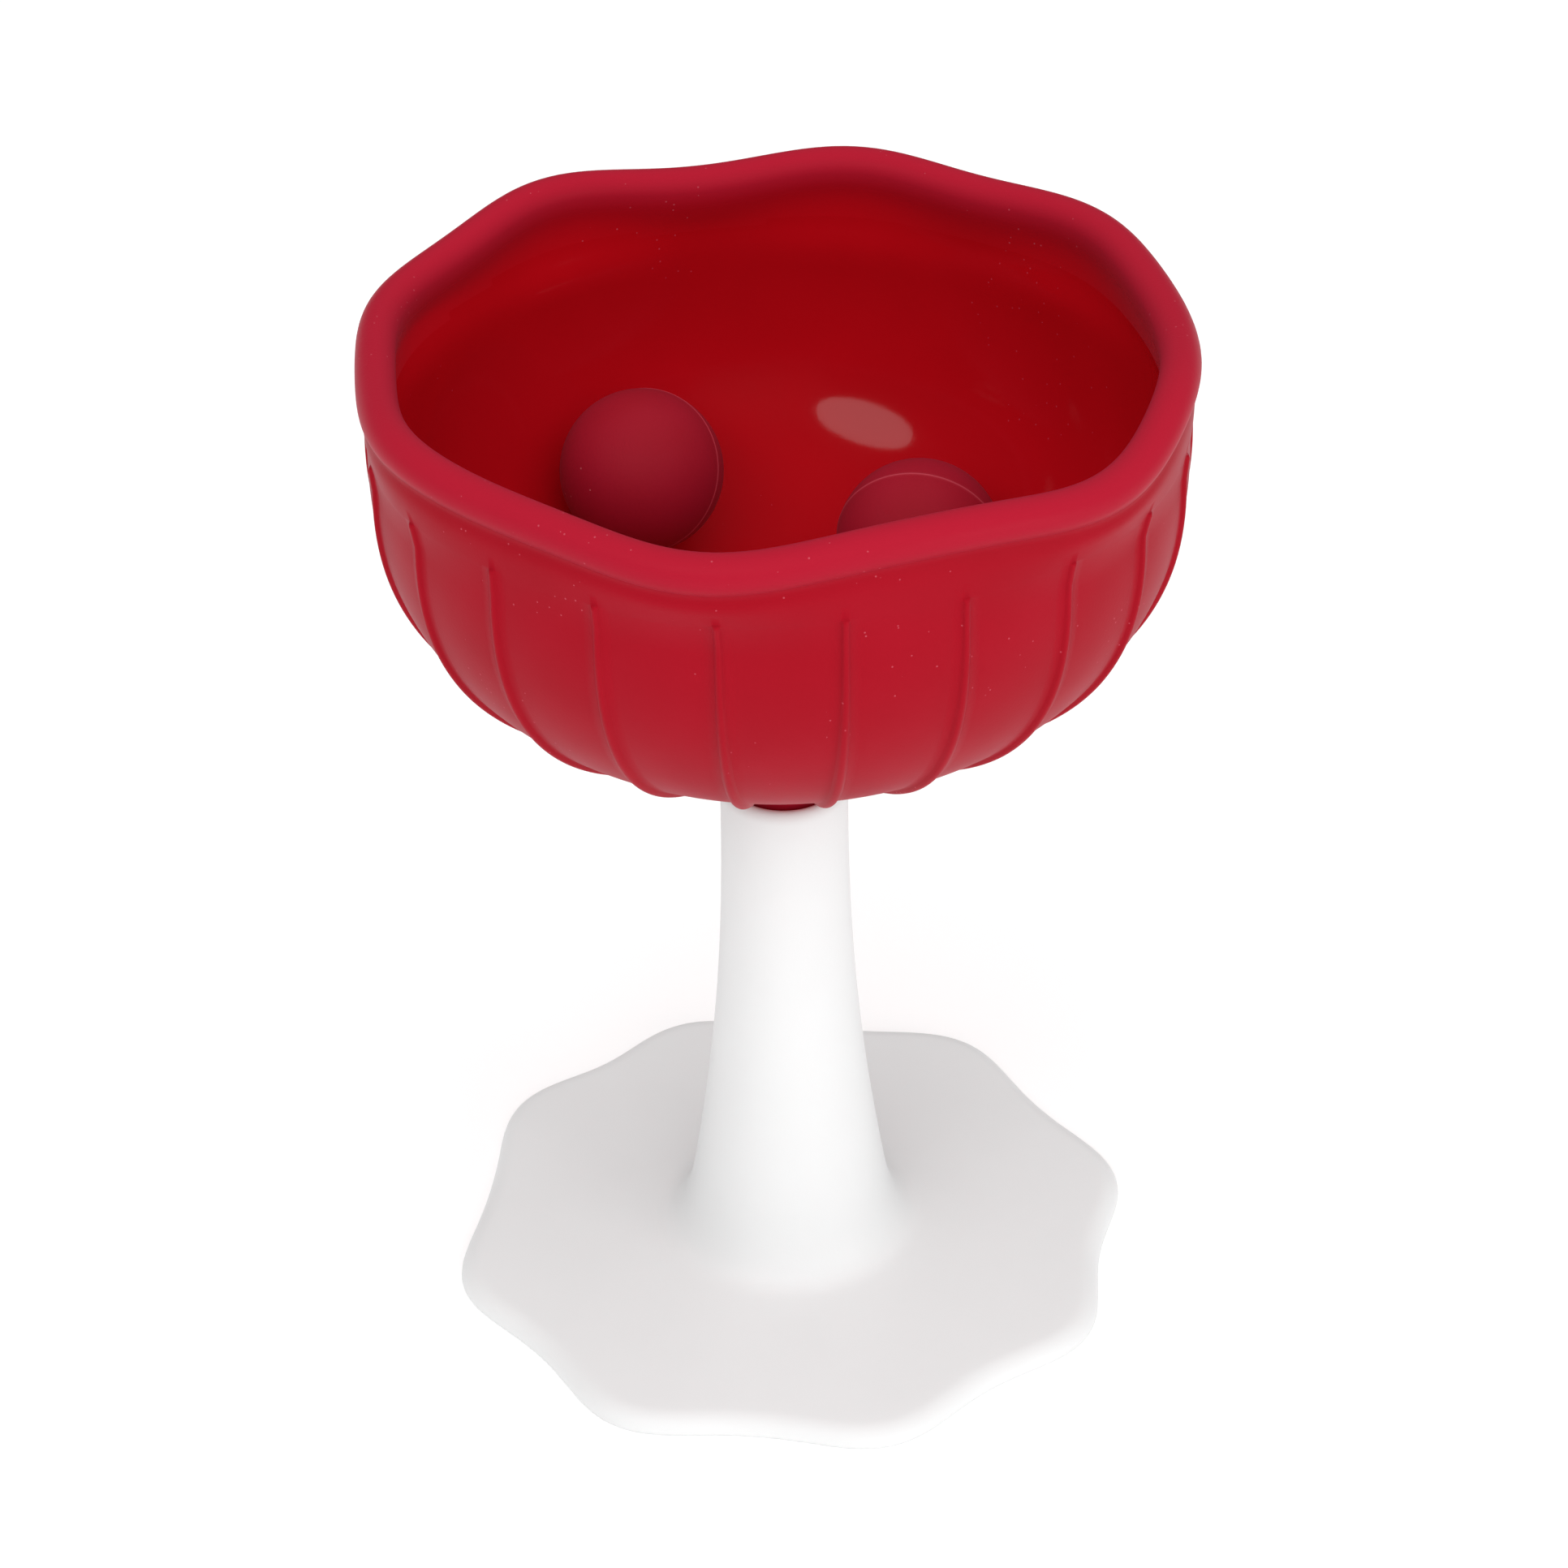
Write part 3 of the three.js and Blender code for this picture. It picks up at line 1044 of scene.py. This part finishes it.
    def _mark_inside(self, bm: bmesh.types.BMesh) -> None:
        """Gives the faces of the inner wall the second material.

        Args:
            bm: The bowl's mesh, whose inner faces look towards the axis or up.
        """
        for face in bm.faces:
            middle = face.calc_center_median()
            r = math.hypot(middle.x, middle.y)
            theta = math.atan2(middle.y, middle.x)
            top = (self.lip_height - self.polish_from - self.polish_run) * MM + LIP_WAVE.rise(theta)
            towards = face.normal.x * middle.x + face.normal.y * middle.y
            above_neck = middle.z > (self.bottom + self.wall / 2) * MM
            low = middle.z < top - self.floor_below_polish * MM
            inner = towards < -self.looks_in * r or (face.normal.z > self.looks_up and low)
            if middle.z < top and above_neck and inner:
                face.material_index = 1


# ---- Balls ---------------------------------------------------------------------------


@dataclass
class Ball:
    """A solid ball with the fine seam of its mould. Sizes in mm."""

    name: str
    body: str
    node: str
    seam_axis: tuple[float, float, float]
    radius: float = 12.4
    seam_height: float = 0.08
    seam_half_width: float = 0.16
    seam_rings: tuple[float, ...] = (0.35, 0.7, 1.0, 1.5)
    seam_falloff: float = 1.5
    steps: int = 64
    columns: int = 96

    def _rings(self) -> list[Ring]:
        """The ball's profile from pole to pole, with extra rings close to the seam.

        Returns:
            The rings, in the order of the profile.
        """
        polar = [math.pi * k / self.steps for k in range(self.steps + 1)]
        width = self.seam_half_width / self.radius
        close = [math.pi / 2 + side * width * u for side in (-1, 1) for u in self.seam_rings]
        rings = []
        for a in sorted(polar + close):
            across = (a - math.pi / 2) / width
            r = self.radius + self.seam_height * math.exp(-self.seam_falloff * across * across)
            rings.append(Ring(r * math.sin(a) if 0 < a < math.pi else 0.0, r * math.cos(a)))
        return rings

    def build(self, paints: Paintbox) -> bpy.types.Object:
        """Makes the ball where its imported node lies.

        Args:
            paints: Where its material comes from.

        Returns:
            The ball's object.
        """
        low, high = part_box(self.node)
        bm = turn(self._rings(), self.columns)
        blend = bm.verts.layers.float.new(BLEND)
        for v in bm.verts:
            v[blend] = math.exp(-((v.co.z / MM / self.seam_half_width) ** 2))
        tilt = Vector((0, 0, 1)).rotation_difference(Vector(self.seam_axis)).to_matrix().to_4x4()
        bmesh.ops.transform(
            bm, matrix=Matrix.Translation((low + high) / 2) @ tilt, verts=bm.verts
        )
        return finish_piece(
            bm, self.name, self.body, self.node, [paints.material(Finishes.BALL)]
        )


# ---- Studio --------------------------------------------------------------------------


@dataclass(frozen=True)
class Softbox:
    """A soft oval light aimed at a point, in metres.

    turn is its turn about its own axis, in degrees, and mirrored says whether gloss
    shows it.
    """

    name: str
    place: tuple[float, float, float]
    aim: tuple[float, float, float]
    size: tuple[float, float]
    power: float
    mirrored: bool = True
    turn: float = 0.0


@dataclass
class Studio:
    """The pale floor, the soft lights and the camera."""

    lens: float = 92.7
    distance: float = 0.6102
    elevation: float = 34.49
    target_height: float = 0.0871
    roll: float = -0.86
    sensor: float = 36.0
    nearest: float = 0.01
    room_light: float = 0.50
    floor_size: float = 6.0
    floor_white: float = 0.97
    floor_roughness: float = 0.9
    floor_specular: float = 0.1
    floor_glow: float = 0.13
    softboxes: tuple[Softbox, ...] = (
        Softbox(
            name="overhead",
            place=(0.05, -0.36, 1.28),
            aim=(0.0, 0.0, 0.08),
            size=(2.6, 2.6),
            power=17.0,
            mirrored=False,
        ),
        Softbox(
            name="front",
            place=(0.12, -1.10, 0.72),
            aim=(0.0, 0.0, 0.08),
            size=(0.9, 0.9),
            power=2.0,
            mirrored=False,
        ),
        Softbox(
            name="right",
            place=(1.0, -0.8, 0.20),
            aim=(0.0, 0.0, 0.12),
            size=(0.7, 0.6),
            power=3.5,
        ),
        Softbox(
            name="left",
            place=(-1.0, -0.6, 0.30),
            aim=(0.0, 0.0, 0.03),
            size=(0.7, 0.7),
            power=0.4,
            mirrored=False,
        ),
        Softbox(
            name="key",
            place=(-0.436, -0.64, 0.856),
            aim=(0.013, 0.046, 0.123),
            size=(0.60, 0.36),
            power=0.95,
            turn=-16.0,
        ),
    )

    def build(self) -> None:
        """Sets up the whole studio."""
        bpy.context.scene.view_settings.view_transform = "Standard"
        self._floor()
        self._room()
        for box in self.softboxes:
            self._light(box)
        self._camera()

    def _floor(self) -> None:
        """Lays a plain pale floor with a faint glow of its own."""
        bm = bmesh.new()
        bmesh.ops.create_grid(bm, x_segments=1, y_segments=1, size=self.floor_size)
        mesh = bpy.data.meshes.new("floor")
        bm.to_mesh(mesh)
        bm.free()
        floor = bpy.data.objects.new("floor", mesh)
        material = bpy.data.materials.new("floor_pale")
        material.use_nodes = True
        shader = material.node_tree.nodes["Principled BSDF"]
        white = self.floor_white
        shader.inputs["Base Color"].default_value = (white, white, white, 1.0)
        shader.inputs["Roughness"].default_value = self.floor_roughness
        shader.inputs["Specular IOR Level"].default_value = self.floor_specular
        shader.inputs["Emission Color"].default_value = WHITE
        shader.inputs["Emission Strength"].default_value = self.floor_glow
        mesh.materials.append(material)
        bpy.context.collection.objects.link(floor)

    def _room(self) -> None:
        """Fills the room with even white light, which gloss doesn't show."""
        world = bpy.data.worlds.new("studio")
        world.use_nodes = True
        shade = world.node_tree.nodes["Background"]
        shade.inputs["Color"].default_value = WHITE
        shade.inputs["Strength"].default_value = self.room_light
        world.cycles_visibility.glossy = False
        bpy.context.scene.world = world

    def _light(self, box: Softbox) -> None:
        """Hangs one softbox.

        Args:
            box: Its place, aim, size and power.
        """
        data = bpy.data.lights.new(box.name, "AREA")
        data.shape = "ELLIPSE"
        data.size, data.size_y = box.size
        data.energy = box.power
        light = bpy.data.objects.new(box.name, data)
        light.visible_glossy = box.mirrored
        light.location = box.place
        towards = Vector(box.aim) - Vector(box.place)
        roll = Matrix.Rotation(math.radians(box.turn), 3, "Z")
        aimed = towards.to_track_quat("-Z", "Y").to_matrix()
        light.rotation_euler = (aimed @ roll).to_euler()
        bpy.context.collection.objects.link(light)

    def _camera(self) -> None:
        """Stands the camera in front of the cup, looking down into it."""
        data = bpy.data.cameras.new("camera")
        data.sensor_width = self.sensor
        data.lens = self.lens
        data.clip_start = self.nearest
        camera = bpy.data.objects.new("camera", data)
        e = math.radians(self.elevation)
        camera.location = (
            0.0,
            -self.distance * math.cos(e),
            self.target_height + self.distance * math.sin(e),
        )
        tilt = Matrix.Rotation(math.radians(90.0 - self.elevation), 3, "X")
        roll = Matrix.Rotation(math.radians(self.roll), 3, "Z")
        camera.rotation_euler = (tilt @ roll).to_euler()
        bpy.context.collection.objects.link(camera)
        bpy.context.scene.camera = camera


def main() -> None:
    """Builds the studio and the cup."""
    logging.basicConfig(level=logging.INFO, format="%(name)s: %(message)s")
    Studio().build()
    paints = Paintbox()
    Stand().build(paints)
    Bowl().build(paints)
    Ball("ball_left_solid", "left_ball", "ball_left", seam_axis=(0.35, 0.774, -0.532)).build(paints)
    Ball("ball_right_solid", "right_ball", "ball_right", seam_axis=(0.167, 0.98, 0.103)).build(paints)


if __name__ == "__main__":
    main()
